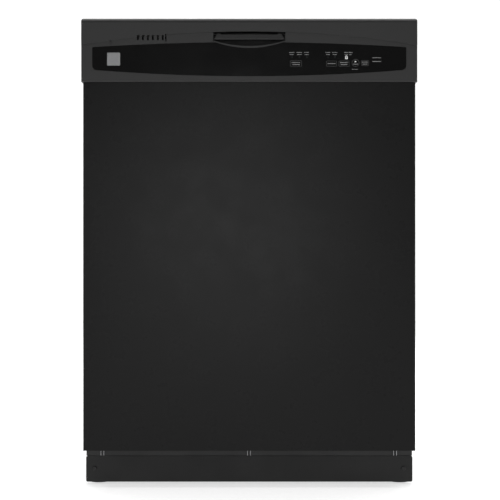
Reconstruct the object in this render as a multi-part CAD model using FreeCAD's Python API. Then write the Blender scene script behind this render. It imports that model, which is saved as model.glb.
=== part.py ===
import FreeCAD, Part
import os
from math import asin, cos, degrees, pi, radians, sin, sqrt

# Black built-in dishwasher with a front control console, a drop-down door and two racks.
# Millimetres. X to the right seen from the front, Y to the back, Z up from the floor.
# The origin is on the floor, under the middle of the outer box.

os.makedirs("parts", exist_ok=True)
V = FreeCAD.Vector

# ---- driving dimensions ----
W = 606.0              # console width
H = 848.0              # floor to console top
D = 622.0              # console front to the back of the base
Y_FRONT = -D / 2       # console front
Y_BACK = D / 2
GAP = 0.3              # gap between neighbouring pieces

DOOR_HALF = 300.0      # door panel half width
DOOR_Y = -305.0        # door panel front
DOOR_Z0 = 67.4         # door panel bottom
DOOR_Z1 = 732.7        # door panel top, under the console
LINER_Y = -247.0       # face of the door that looks into the tub
LINER_HALF = 284.0
LINER_Z0 = 80.0
LINER_Z1 = 840.0
HINGE_Y = -281.0       # door hinge line
HINGE_Z = 93.0
PIN_R = 5.0

TUB_HALF = 272.0       # inside the tub
TUB_Y0 = -239.0
TUB_Y1 = 285.0
TUB_Z0 = 134.5
TUB_Z1 = 824.0
TUB_T = 3.0
ARM_Y = 20.0           # line of the three spray arms

TOE_Y = -250.0         # toe panel front, set back under the door
FIT = 0.05             # radial clearance of a turning fit


# ---- helpers ----
def box(x0, x1, y0, y1, z0, z1):
    return Part.makeBox(x1 - x0, y1 - y0, z1 - z0, V(x0, y0, z0))


def cyl(x, y, z, r, length, d="z"):
    """Cylinder from a start point along +X, +Y or +Z."""
    way = {"x": V(1, 0, 0), "y": V(0, 1, 0), "z": V(0, 0, 1)}[d]
    return Part.makeCylinder(r, length, V(x, y, z), way)


def rod(a, b, r):
    """Straight round wire between two points."""
    step = V(*b) - V(*a)
    return Part.makeCylinder(r, step.Length, V(*a), step)


def edges_along(shape, d):
    """Straight edges that run along one axis."""
    way = {"x": V(1, 0, 0), "y": V(0, 1, 0), "z": V(0, 0, 1)}[d]
    found = []
    for e in shape.Edges:
        if len(e.Vertexes) == 2 and e.Curve.TypeId == "Part::GeomLine":
            t = e.Vertexes[1].Point - e.Vertexes[0].Point
            if abs(t.normalize().dot(way)) > 0.999:
                found.append(e)
    return found


def rbox(x0, x1, y0, y1, z0, z1, r, d="y"):
    """Box with its four edges along one axis rounded."""
    b = box(x0, x1, y0, y1, z0, z1)
    return b.makeFillet(r, edges_along(b, d))


def face_of(points):
    """Flat face from points; a point triple (a, mid, b) inside the list is an arc's middle point."""
    edges = []
    start = V(*points[0])
    i = 1
    while i < len(points):
        if len(points[i]) == 2:
            mid = V(*points[i][0])
            end = V(*points[i][1])
            edges.append(Part.Arc(start, mid, end).toShape())
        else:
            end = V(*points[i])
            edges.append(Part.makeLine(start, end))
        start = end
        i += 1
    return Part.Face(Part.Wire(edges))


def fuse(first, *rest):
    return first.fuse(list(rest)).removeSplitter()


def cut(shape, *tools):
    return shape.cut(list(tools))


def mirror_x(shape):
    return shape.mirror(V(0, 0, 0), V(1, 0, 0))


def both(shape):
    """A piece and its twin on the other side."""
    return [shape, mirror_x(shape)]


def bend(cx, cy, cz, radius, r, u, w):
    """Quarter ring of round wire about a centre, from direction u to direction w."""
    c = V(cx, cy, cz)
    u = V(*u)
    w = V(*w)
    ring = Part.makeCircle(r, c + u * radius, w)
    face = Part.Face(Part.Wire([ring]))
    return face.revolve(c, u.cross(w), 90)


def hoop(x0, x1, y0, y1, z, r, corner):
    """Level rounded wire frame in eight pieces: four straights and four bends."""
    out = []
    for x in (x0, x1):
        out.append(rod((x, y0 + corner, z), (x, y1 - corner, z), r))
    for y in (y0, y1):
        out.append(rod((x0 + corner, y, z), (x1 - corner, y, z), r))
    for x, sx in ((x0 + corner, -1), (x1 - corner, 1)):
        for y, sy in ((y0 + corner, -1), (y1 - corner, 1)):
            out.append(bend(x, y, z, corner, r, (sx, 0, 0), (0, sy, 0)))
    return out


def cradle(d, at, a0, a1, low, top, r, corner):
    """U-shaped rack wire in five pieces, standing in a plane across X or Y."""
    if d == "y":
        def p(a, z):
            return (at, a, z)
        way = (0, 1, 0)
    else:
        def p(a, z):
            return (a, at, z)
        way = (1, 0, 0)
    back = tuple(-c for c in way)
    out = [rod(p(a0 + corner, low), p(a1 - corner, low), r)]
    out.append(rod(p(a0, low + corner), p(a0, top), r))
    out.append(rod(p(a1, low + corner), p(a1, top), r))
    out.append(bend(*p(a0 + corner, low + corner), corner, r, back, (0, 0, -1)))
    out.append(bend(*p(a1 - corner, low + corner), corner, r, way, (0, 0, -1)))
    return out


def pipe(points, r, corner):
    """Round tube solid along a path with rounded corners."""
    pts = [V(*p) for p in points]
    edges = []
    start = pts[0]
    for i in range(1, len(pts) - 1):
        a = (pts[i - 1] - pts[i]).normalize()
        b = (pts[i + 1] - pts[i]).normalize()
        half = a.getAngle(b) / 2
        reach = corner / (sin(half) / cos(half))
        p1 = pts[i] + a * reach
        p2 = pts[i] + b * reach
        mid = pts[i] + (a + b).normalize() * (corner / sin(half) - corner)
        edges.append(Part.makeLine(start, p1))
        edges.append(Part.Arc(p1, mid, p2).toShape())
        start = p2
    edges.append(Part.makeLine(start, pts[-1]))
    spine = Part.Wire(edges)
    ring = Part.Wire([Part.makeCircle(r, pts[0], pts[1] - pts[0])])
    return spine.makePipeShell([ring], True, False)


def save(name, *shapes):
    """Write one node, from one solid or a group of separate solids."""
    solids = []
    for s in shapes:
        solids.extend(s.Solids)
    for s in solids:
        if not s.isValid() or s.Volume <= 0:
            raise ValueError(name + " has a bad solid")
    shape = solids[0] if len(solids) == 1 else Part.makeCompound(solids)
    shape.exportStep("parts/" + name + ".step")


# ---- tub: a box open to the front, with a front flange and a hole for the sump ----
def tub():
    t = TUB_T
    outer = box(-TUB_HALF - t, TUB_HALF + t, TUB_Y0, TUB_Y1 + t, TUB_Z0 - t, TUB_Z1 + t)
    outer = outer.makeFillet(24, [e for e in edges_along(outer, "y") if e.BoundBox.ZMin > 500])
    outer = outer.makeFillet(11, [e for e in edges_along(outer, "y") if e.BoundBox.ZMax < 200])
    outer = outer.makeFillet(9, [e for e in outer.Edges if e.BoundBox.YMin > TUB_Y1])
    inner = box(-TUB_HALF, TUB_HALF, TUB_Y0 - 40, TUB_Y1, TUB_Z0, TUB_Z1)
    inner = inner.makeFillet(21, [e for e in edges_along(inner, "y") if e.BoundBox.ZMin > 500])
    inner = inner.makeFillet(8, [e for e in edges_along(inner, "y") if e.BoundBox.ZMax < 200])
    inner = inner.makeFillet(6, [e for e in inner.Edges if e.BoundBox.YMin > TUB_Y1 - 1])
    flange = rbox(-LINER_HALF, LINER_HALF, TUB_Y0, TUB_Y0 + 3, 126, 842, 12)
    shell = fuse(outer, flange)
    hole = cyl(0, ARM_Y, TUB_Z0 - 20, 104, 40)
    shell = cut(shell, inner, hole)
    # pressed ribs on the side walls, one pair above and below the rack rail
    ribs = []
    for z in (400, 440, 700, 740):
        rib = cyl(TUB_HALF + 1.5, -150, z, 4.5, 360, "y")
        ribs.append(rib.common(box(TUB_HALF - 3.0, TUB_HALF + 2.9, -150, 210, z - 5, z + 5)))
    ribs += [mirror_x(r) for r in ribs]
    # holes for the roller studs, the strike, the feed tube, the heater ends and the float stem
    holes = []
    for y in ROLLER_Y:
        holes.append(cyl(-TUB_HALF - 10, y, RAIL_Z, 4 + GAP, 2 * TUB_HALF + 20, "x"))
    holes.append(cyl(FLOAT_X, FLOAT_Y, TUB_Z0 - 20, 6, 40))
    for x in (-30, 30):
        holes.append(cyl(x, HEAT_Y1, TUB_Z0 - 20, 6, 30))
    holes.append(cyl(0, FEED_Y, TUB_Z0 - 20, FEED_R + 1, 40))
    return cut(fuse(shell, *ribs), *holes)


RAIL_Z = 600.0         # upper rack rail
ROLLER_Y = (-228.0, -160.0)
FLOAT_X = -205.0
FLOAT_Y = -185.0
HEAT_X = 175.0         # heater loop half width
HEAT_Y0 = -150.0
HEAT_Y1 = 190.0
HEAT_Z = 142.5
FEED_Y = 274.0
FEED_R = 7.0


def gasket():
    """Soft seal round the tub mouth, open at the bottom."""
    y0 = LINER_Y + GAP
    y1 = TUB_Y0 - GAP
    outer = rbox(-282, 282, y0, y1, 60, TUB_Z1 + 8.5, 24)
    inner = rbox(-274, 274, y0 - 5, y1 + 5, 40, TUB_Z1 + 1, 17)
    ring = cut(outer, inner, box(-300, 300, -300, -200, 0, 129))
    groove = cut(rbox(-279.5, 279.5, y0 - 1, y0 + 2, 50, TUB_Z1 + 6, 22),
                 rbox(-276.5, 276.5, y0 - 5, y0 + 5, 40, TUB_Z1 + 3.4, 19))
    return cut(ring, groove)


def tub_frame():
    """Folded steel strip round the front of the tub."""
    y0 = -241.0
    outer = rbox(-300, 300, y0, -212, 128, 846, 4)
    hollow = box(-298.8, 298.8, y0 + 1.4, -200, 100, 844.8)
    mouth = rbox(-285, 285, y0 - 5, y0 + 5, 100, 843, 13)
    holes = [cyl(x, y0 - 2, z, 2.4, 6, "y") for x in (-292, 292) for z in (220, 420, 620, 780)]
    return cut(outer, hollow, mouth, *holes)


def mounting_brackets():
    """Tabs that screw to the underside of the worktop."""
    out = []
    for x in (-150, 150):
        plate = rbox(x - 26, x + 26, -240, -196, 846.3, H, 6, "z")
        tab = box(x - 26, x + 26, -211, -209, 838.5, 847)
        piece = fuse(plate, cut(tab, box(x - 30, x + 30, -212, -208, 830, 838)))
        holes = [cyl(x + dx, -222, 840, 2.75, 20) for dx in (-14, 14)]
        out.append(cut(piece, *holes))
    return out


def insulation():
    """Soft blanket over the top, sides and back of the tub."""
    outer = rbox(-284, 284, -205, 296.5, 150, 843.5, 26)
    inner = rbox(-275.6, 275.6, -230, 288.4, 100, TUB_Z1 + 3.5, 24)
    inner = fuse(inner, box(-275.6, 275.6, -230, 288.4, 100, 400))
    cutouts = [box(-300, 300, -300, -140, RAIL_Z - 14, RAIL_Z + 14)]
    return cut(outer, inner, box(-300, 300, -300, 400, 100, 170), *cutouts)


FOOT_X = 279.0
FOOT_Y = (-212.0, 285.0)


def base_frame():
    """Folded base: side plates with hinge ears, cross rails and nuts for the feet."""
    parts = []
    for s in (-1, 1):
        side = box(292.5, 295.5, -246, Y_BACK, 18, 127.7)
        crown = box(292.5, 295.5, -208, Y_BACK, 127, 131)
        ear = cyl(292.5, HINGE_Y, HINGE_Z, 10, 3, "x")
        neck = box(292.5, 295.5, HINGE_Y, -240, 84, 103)
        low = box(262, 294, -246, Y_BACK, 18, 20.5)
        high = box(268, 294, -208, Y_BACK, 128.7, 131)
        piece = fuse(side, crown, ear, neck, low, high)
        windows = [rbox(280, 300, -140, 40, 42, 108, 10, "x"),
                   rbox(280, 300, 70, 250, 42, 108, 10, "x")]
        nuts = [cyl(FOOT_X, y, 20, 11, 14) for y in FOOT_Y]
        piece = fuse(cut(piece, *windows), *nuts)
        bores = [cyl(FOOT_X, y, 0, 5 + FIT, 80) for y in FOOT_Y]
        pin = cyl(280, HINGE_Y, HINGE_Z, PIN_R + FIT, 30, "x")
        piece = cut(piece, pin, *bores)
        parts.append(piece if s > 0 else mirror_x(piece))
    front = box(-294, 294, -246, -244, 18, 78)
    notches = [box(x - 5, x + 5, -250, -240, 65, 80) for x in (-SPRING_X, SPRING_X)]
    holes = [cyl(x, -250, SCREW_Z, 2.3, 10, "y") for x in (-SCREW_X, SCREW_X)]
    rear = box(-294, 294, Y_BACK - 2, Y_BACK, 18, 40)
    tie = box(-294, 294, 150, 190, 18, 20.5)
    return fuse(parts[0], parts[1], cut(front, *holes, *notches), rear, tie)


SCREW_X = 284.0
SCREW_Z = 28.5
SPRING_X = 277.0


def toe_panel():
    """Kick plate under the door, with folded ends."""
    plate = rbox(-300, 300, TOE_Y, TOE_Y + 12, 4, 51.3, 3)
    hollow = box(-298.6, 298.6, TOE_Y + 1.4, TOE_Y + 30, 5.4, 80)
    holes = [cyl(x, TOE_Y - 5, SCREW_Z, 2.3, 20, "y") for x in (-SCREW_X, SCREW_X)]
    return cut(plate, hollow, *holes)


def access_panel():
    """Plate above and behind the kick plate, with three pairs of folded tabs along its top."""
    y0 = TOE_Y + 1.4 + GAP
    plate = fuse(box(-291, 291, y0, y0 + 1.2, 20, 76), box(-299.5, 299.5, y0, y0 + 1.2, 51.8, 66))
    tabs = []
    for x in (-270, -0.5, 268):
        for dx in (-3.2, 2.2):
            tabs.append(box(x + dx, x + dx + 1.0, y0 - 2.4, y0 + 0.6, 51.8, 68))
    holes = [cyl(x, y0 - 5, SCREW_Z, 2.3, 20, "y") for x in (-SCREW_X, SCREW_X)]
    notches = [box(x - 5, x + 5, y0 - 5, y0 + 5, 65, 80) for x in (-SPRING_X, SPRING_X)]
    return cut(fuse(plate, *tabs), *holes, *notches)


def screw(x, y, z, d, head_r=4.0, length=9.0):
    """Pan-head screw with a cross slot; the head looks towards -Y or +X."""
    head = cyl(0, 0, 0, head_r, 2.2, "y")
    head = head.makeFillet(0.9, [e for e in head.Edges if e.BoundBox.YMax < 0.1])
    slots = [box(-0.5, 0.5, -1, 0.9, -2.4, 2.4), box(-2.4, 2.4, -1, 0.9, -0.5, 0.5)]
    shank = cyl(0, 1.5, 0, 2.0, length, "y")
    s = fuse(cut(head, *slots), shank)
    if d == "x":
        s.rotate(V(0, 0, 0), V(0, 0, 1), 90)
    if d == "-x":
        s.rotate(V(0, 0, 0), V(0, 0, 1), -90)
    s.translate(V(x, y, z))
    return s


def sump():
    """Stepped bowl under the tub floor with outlets for both pumps."""
    rim = cyl(0, ARM_Y, 128.2, 116, 3)
    wall = Part.makeCone(60, 100, 58, V(0, ARM_Y, 70.5))
    well = cyl(0, ARM_Y, 52, 46, 30)
    out_c = cyl(-95, ARM_Y, 72, 16, 60, "x")
    out_d = cyl(20, ARM_Y, 66, 13, 75, "x")
    body = fuse(rim, wall, well, out_c, out_d)
    inside = Part.makeCone(57, 98, 61, V(0, ARM_Y, 73.5))
    deep = cyl(0, ARM_Y, 55, 43, 60)
    bore_c = cyl(-100, ARM_Y, 72, 13, 60, "x")
    bore_d = cyl(20, ARM_Y, 66, 10, 80, "x")
    return cut(body, inside, deep, bore_c, bore_d)


def filter_cup():
    """Perforated coarse filter plate with a cup and a grip."""
    plate = cyl(0, ARM_Y, 131.6, 96, 2)
    cup = cyl(0, ARM_Y + 36, 86, 22, 46)
    hollow = cyl(0, ARM_Y + 36, 88, 20, 60)
    grip = box(-1.5, 1.5, ARM_Y + 16, ARM_Y + 57, 128, 136)
    holes = []
    for ring, count in ((30, 10), (50, 18), (70, 26), (86, 32)):
        for k in range(count):
            a = 2 * pi * k / count
            x = ring * cos(a)
            y = ARM_Y + ring * sin(a)
            if (x * x + (y - ARM_Y - 36) ** 2) > 26 ** 2:
                holes.append(cyl(x, y, 128, 2.2, 12))
    hub = cyl(0, ARM_Y, 131.6, 14, 12)
    return cut(fuse(cut(fuse(plate, cup), hollow), grip, hub), *holes)


def circulation_pump():
    """Motor with cooling ribs, lying along X, and a volute at the sump end."""
    body = cyl(-225, ARM_Y, 72, 38, 95, "x")
    ribs = [cyl(-222 + 9 * k, ARM_Y, 72, 41, 3, "x") for k in range(9)]
    volute = cyl(-130, ARM_Y, 72, 46, 26, "x")
    spout = cyl(-117, ARM_Y, 72, 12, 88, "y")
    cap = cyl(-232, ARM_Y, 72, 24, 8, "x")
    mouth = cyl(-112, ARM_Y, 72, 16.4, 20, "x")
    feet = [box(-200, -192, ARM_Y - 30, ARM_Y + 30, 24, 40), box(-160, -152, ARM_Y - 30, ARM_Y + 30, 24, 40)]
    return cut(fuse(body, volute, spout, cap, *ribs, *feet), mouth)


def drain_pump():
    """Small pump at the right of the sump; its outlet looks to the back."""
    body = cyl(96, ARM_Y, 66, 28, 60, "x")
    motor = box(156, 200, ARM_Y - 24, ARM_Y + 24, 44, 90)
    coil = rbox(160, 196, ARM_Y - 30, ARM_Y + 30, 50, 84, 4, "x")
    port = cyl(120, ARM_Y + 10, 66, DRAIN_R, 250, "y")
    bore = cyl(120, ARM_Y + 60, 66, 7.5, 220, "y")
    collar = cyl(120, 236, 66, 13, 4, "y")
    mouth = cyl(90, ARM_Y, 66, 13.4, 8, "x")
    return cut(fuse(body, motor, coil, port, collar), bore, mouth)


DRAIN_R = 9.5


def inlet_valve():
    """Fill valve: inlet stub to the left, coil on top, outlet stub to the back."""
    body = box(-262, -228, -46, -14, 58, 92)
    stub = cyl(-287, -30, 75, 10.0, 26, "x")
    bore = cyl(-290, -30, 75, 6.5, 40, "x")
    coil = cyl(-245, -30, 90, 13, 28)
    out = cyl(-245, -16, 70, 6.0, 26, "y")
    plate = box(-262, -228, -48, -45.5, 24, 70)
    return cut(fuse(body, stub, coil, out, plate), bore)


def fill_hose():
    """Hose from the fill valve to the tub's side inlet."""
    path = [(-245, 10.5, 70), (-245, 235, 70), (-245, 235, 118), (-200, 235, 118)]
    return pipe(path, 7.5, 22)


def heater():
    """Heating loop above the tub floor, in straights and bends, with two ends through the floor."""
    r = 4.0
    c = 40.0
    out = []
    for x in (-HEAT_X, HEAT_X):
        out.append(rod((x, HEAT_Y0 + c, HEAT_Z), (x, HEAT_Y1 - c, HEAT_Z), r))
    out.append(rod((-HEAT_X + c, HEAT_Y0, HEAT_Z), (HEAT_X - c, HEAT_Y0, HEAT_Z), r))
    for s in (-1, 1):
        out.append(bend(s * (HEAT_X - c), HEAT_Y0 + c, HEAT_Z, c, r, (s, 0, 0), (0, -1, 0)))
        out.append(bend(s * (HEAT_X - c), HEAT_Y1 - c, HEAT_Z, c, r, (s, 0, 0), (0, 1, 0)))
        out.append(rod((s * (HEAT_X - c), HEAT_Y1, HEAT_Z), (s * 42, HEAT_Y1, HEAT_Z), r))
        out.append(bend(s * 42, HEAT_Y1, HEAT_Z - 12, 12, r, (0, 0, 1), (-s, 0, 0)))
        out.append(rod((s * 30, HEAT_Y1, HEAT_Z - 12), (s * 30, HEAT_Y1, 104), r))
    return out


def feed_tube():
    """Water tube up the back wall and along the ceiling, with a docking nozzle for the upper rack."""
    path = [(0, FEED_Y, 108), (0, FEED_Y, TUB_Z1 - 10), (0, ARM_Y, TUB_Z1 - 10)]
    tube = pipe(path, FEED_R, 18)
    nozzle = Part.makeCone(FEED_R - 1, 12, 7, V(0, FEED_Y - 6, DOCK_Z), V(0, -1, 0))
    neck = cyl(0, ARM_Y, 802, 6, 14)
    hub = cyl(0, ARM_Y, 791, 3.0, 12)
    stop = cyl(0, ARM_Y, 788.6, 6.0, 3)
    return fuse(tube, nozzle, neck, hub, stop)


DOCK_Z = 497.0         # height of the upper rack's water manifold


def junction_box():
    """Sheet box for the supply wires, with a cable hole in its back wall."""
    shell = cut(box(205, 262, -232, -182, 30, 92), box(207, 260, -230, -184, 32, 90))
    hole = cyl(233, -190, 62, 11.0, 20, "y")
    lid = box(206, 261, -233.6, -232.3, 31, 91)
    return [cut(shell, hole), lid]


def float_piece():
    """Overfill float: a cap on a stem through the tub floor."""
    cap = cyl(FLOAT_X, FLOAT_Y, 137, 19, 13)
    cap = cap.makeFillet(4, [e for e in cap.Edges if e.BoundBox.ZMin > 149])
    hollow = cyl(FLOAT_X, FLOAT_Y, 136, 16.5, 11)
    stem = cyl(FLOAT_X, FLOAT_Y, 112, 4, 36)
    return fuse(cut(cap, hollow), stem)


def door_strike():
    """Tongue on the tub flange that enters the door latch."""
    plate = box(-22, 22, TUB_Y0 - 2.6, TUB_Y0 - GAP, 835.5, 841.5)
    tongue = rbox(-7, 7, -262, TUB_Y0 - 1, 836.0, 839.0, 1.2)
    return fuse(plate, tongue)


def door_springs():
    """Balance springs along the base sides, each with a link to the hinge arm."""
    out = []
    x = SPRING_X
    z = 72.0
    turns = 15
    pitch = 7.0
    helix = Part.makeHelix(pitch, pitch * turns, 7.5)
    wire = Part.Wire(helix.Edges)
    ring = Part.Wire([Part.makeCircle(1.4, V(7.5, 0, 0), V(0, 1, 0))])
    coil = wire.makePipeShell([ring], True, True)
    coil.rotate(V(0, 0, 0), V(1, 0, 0), -90)
    coil.translate(V(x, -190, z))
    link = rod((x, -252, z), (x, -191.5, z), 1.4)
    tail = rod((x, -83.5, z), (x, -60, z), 1.4)
    out += [coil, link, tail]
    out += [mirror_x(s) for s in (coil, link, tail)]
    return out


def foot(x, y):
    """Levelling foot: hexagon pad with a threaded stem."""
    pad = cyl(x, y, 0, 17, 7)
    pad = pad.makeFillet(2, [e for e in pad.Edges if e.BoundBox.ZMin > 6])
    hexagon = Part.makePolygon([V(x + 9 * cos(radians(60 * k)), y + 9 * sin(radians(60 * k)), 6)
                                for k in range(7)])
    nut = Part.Face(hexagon).extrude(V(0, 0, 6))
    stem = cyl(x, y, 8, 5.0, 56)
    return fuse(pad, nut, stem)


def rollers(y):
    """Pair of rack rollers on one axle line, left and right."""
    wheel = cyl(260.5, y, RAIL_Z, 8.6, 6.5, "x")
    wheel = wheel.makeFillet(0.6, [e for e in wheel.Edges if e.Curve.TypeId == "Part::GeomCircle"])
    wheel = cut(wheel, cyl(255, y, RAIL_Z, 3 + FIT, 20, "x"))
    return both(wheel)


def roller_studs():
    """Studs through the tub sides that carry the rollers."""
    out = []
    for y in ROLLER_Y:
        shaft = cyl(259.6, y, RAIL_Z, 3.0, 21, "x")
        collar = cyl(267.4, y, RAIL_Z, 6.5, 4.2, "x")
        head = cyl(259.6, y, RAIL_Z, 5.0, 0.7, "x")
        nut = cyl(275.3, y, RAIL_Z, 6.5, 4.0, "x")
        out += both(fuse(shaft, collar, head, nut))
    return out


def spray_arm(z, reach, width, thick, hub_r, bore_r, lift):
    """Two-bladed spray arm with a hub and a row of nozzle holes."""
    blades = rbox(-reach, reach, ARM_Y - width / 2, ARM_Y + width / 2, z, z + thick, width / 2 - 0.1, "z")
    top = [e for e in blades.Edges if abs(e.BoundBox.ZMin - z - thick) < 0.01]
    blades = blades.makeFillet(thick * 0.35, top)
    hub = cyl(0, ARM_Y, z - lift, hub_r, thick + lift + 2)
    holes = []
    for k in range(1, 6):
        for s in (-1, 1):
            x = s * (reach - 16) * k / 5.0
            if abs(x) > hub_r + 4:
                holes.append(cyl(x, ARM_Y + s * 3 * (k % 3 - 1), z - 5, 1.5, thick + 10))
    bore = cyl(0, ARM_Y, z - lift - 5, bore_r, thick + lift + 12)
    return cut(fuse(blades, hub), bore, *holes)


# ---- door ----
def door_panel():
    """Folded outer skin of the door."""
    outer = box(-DOOR_HALF, DOOR_HALF, DOOR_Y, DOOR_Y + 12, DOOR_Z0, DOOR_Z1)
    outer = outer.makeFillet(1.6, [e for e in edges_along(outer, "z") if e.BoundBox.YMax < DOOR_Y + 1])
    hollow = box(-DOOR_HALF + 1.2, DOOR_HALF - 1.2, DOOR_Y + 1.2, DOOR_Y + 40, DOOR_Z0 + 1.2, DOOR_Z1 - 1.2)
    holes = [cyl(-310, DOOR_Y + 7, z, 2.3, 620, "x") for z in (140, 300, 460, 620)]
    return cut(outer, hollow, *holes)


CUP_X0 = -64.0         # detergent dispenser in the door
CUP_X1 = 20.0
CUP_Z0 = 350.0
CUP_Z1 = 428.0
RINSE_X = 58.0
RINSE_Z = 389.0


def door_liner():
    """Pan that faces the tub, with a stiffening recess and holes for dispenser, latch and vent."""
    y0 = -290.0
    pan = rbox(-LINER_HALF, LINER_HALF, y0, LINER_Y, LINER_Z0, LINER_Z1, 10)
    hollow = rbox(-LINER_HALF + 1.6, LINER_HALF - 1.6, y0 - 5, LINER_Y - 1.6, LINER_Z0 + 1.6, LINER_Z1 - 1.6, 8.4)
    pan = cut(pan, hollow)
    # shallow dish pressed into the middle of the face
    dish_out = rbox(-236, 236, LINER_Y - 7.6, LINER_Y - 1, 150, 780, 24)
    dish_in = rbox(-234.4, 234.4, LINER_Y - 6, LINER_Y + 1, 151.6, 778.4, 22.4)
    pan = cut(fuse(pan, dish_out), dish_in)
    port = rbox(CUP_X0 - 12, 92, -300, -240, CUP_Z0 - 12, CUP_Z1 + 12, 8)
    mouth = box(-9, 9, -270, -240, 833.5, 845)
    vent = cyl(-175, -300, 735, 26, 80, "y")
    return cut(pan, port, mouth, vent)


def sound_pad():
    """Fibre pad between the door skins."""
    return rbox(-270, 270, DOOR_Y + 2, DOOR_Y + 14, 110, 700, 8)


def hinge_arms():
    """Steel arms on the sides of the liner with the hinge pins and spring lugs."""
    x0 = 286.0
    strip = box(x0, x0 + 3, -298, -262, HINGE_Z - 5, 330)
    strip = strip.makeFillet(8, [e for e in edges_along(strip, "x") if e.BoundBox.ZMin > 300])
    eye = cyl(x0, HINGE_Y, HINGE_Z, 14, 3, "x")
    lug = cyl(x0, HINGE_Y + 8, HINGE_Z - 17, 7, 3, "x")
    web = box(x0, x0 + 3, HINGE_Y - 3, HINGE_Y + 14, HINGE_Z - 18, HINGE_Z)
    pin = cyl(x0 + 2, HINGE_Y, HINGE_Z, PIN_R, 8.2, "x")
    shoulder = cyl(x0 + 2.5, HINGE_Y, HINGE_Z, 8, 2.6, "x")
    lug_hole = cyl(x0 - 2, HINGE_Y + 8, HINGE_Z - 17, 3, 8, "x")
    holes = [cyl(x0 - 5, -276, z, 2.3, 12, "x") for z in (160, 300)]
    arm = cut(fuse(strip, eye, lug, web, pin, shoulder), lug_hole, *holes)
    return both(arm)


def door_screws():
    """Screws through the folded sides of the door skin."""
    out = []
    for z in (140, 300, 460, 620):
        out.append(screw(-DOOR_HALF - GAP - 2.2, DOOR_Y + 7, z, "-x", 3.6, 6))
        out.append(screw(DOOR_HALF + GAP + 2.2, DOOR_Y + 7, z, "x", 3.6, 6))
    return out


CON_Z0 = DOOR_Z1 + GAP
BAND_Y = Y_FRONT + 1.8         # recessed band below the crease
CREASE_MID = H - 23.8
CREASE_SIDE = H - 50.0
OVER_HALF = 283.0
LIP = 3.3                      # width of the smiling lip round the finger opening
KEYS = ((84.2, 81.9, 21.3, 11.7), (148.4, 81.9, 19.5, 10.6), (170.9, 81.9, 19.5, 11.0), (208.7, 81.0, 14.2, 10.6))
ROUND_KEY = (191.7, 80.7, 7.0)
SLOTS = tuple(-201.4 + 8.95 * k for k in range(6))


def crease_face(y, side_margin=0.0):
    """Front outline of the band: flat below and arched along its top."""
    a = W / 2 + 5
    mid = V(0, y, CREASE_MID)
    left = V(-a, y, CREASE_SIDE)
    right = V(a, y, CREASE_SIDE)
    top = Part.Arc(left, mid, right).toShape()
    low = CON_Z0 - 5
    e1 = Part.makeLine(right, V(a, y, low))
    e2 = Part.makeLine(V(a, y, low), V(-a, y, low))
    e3 = Part.makeLine(V(-a, y, low), left)
    return Part.Face(Part.Wire([top, e1, e2, e3]))


def overlay_outline(y, grow=0.0):
    """Eye-shaped outline of the glossy control strip."""
    a = OVER_HALF + grow
    top_mid = V(0, y, H - 43.4 + grow)
    top_l = V(-a, y, H - 52.4 + grow)
    top_r = V(a, y, H - 52.4 + grow)
    bot_mid = V(0, y, H - 104.5 - grow)
    bot_l = V(-a, y, H - 93.0 - grow)
    bot_r = V(a, y, H - 93.0 - grow)
    wire = Part.Wire([Part.Arc(top_l, top_mid, top_r).toShape(), Part.makeLine(top_r, bot_r),
                      Part.Arc(bot_r, bot_mid, bot_l).toShape(), Part.makeLine(bot_l, top_l)])
    return Part.Face(wire)


def pocket_face(y, grow=0.0):
    """Outline of the handle pocket: straight sides and a smiling lower lip."""
    top = H - 24.0 + grow
    half = 65.0 + grow
    side = H - 40.5
    low = H - 50.4 - grow
    wire = Part.Wire([
        Part.Arc(V(-half, y, top - 1.2), V(0, y, top), V(half, y, top - 1.2)).toShape(),
        Part.makeLine(V(half, y, top - 1.2), V(half, y, side)),
        Part.Arc(V(half, y, side), V(0, y, low), V(-half, y, side)).toShape(),
        Part.makeLine(V(-half, y, side), V(-half, y, top - 1.2)),
    ])
    return Part.Face(wire)


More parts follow.
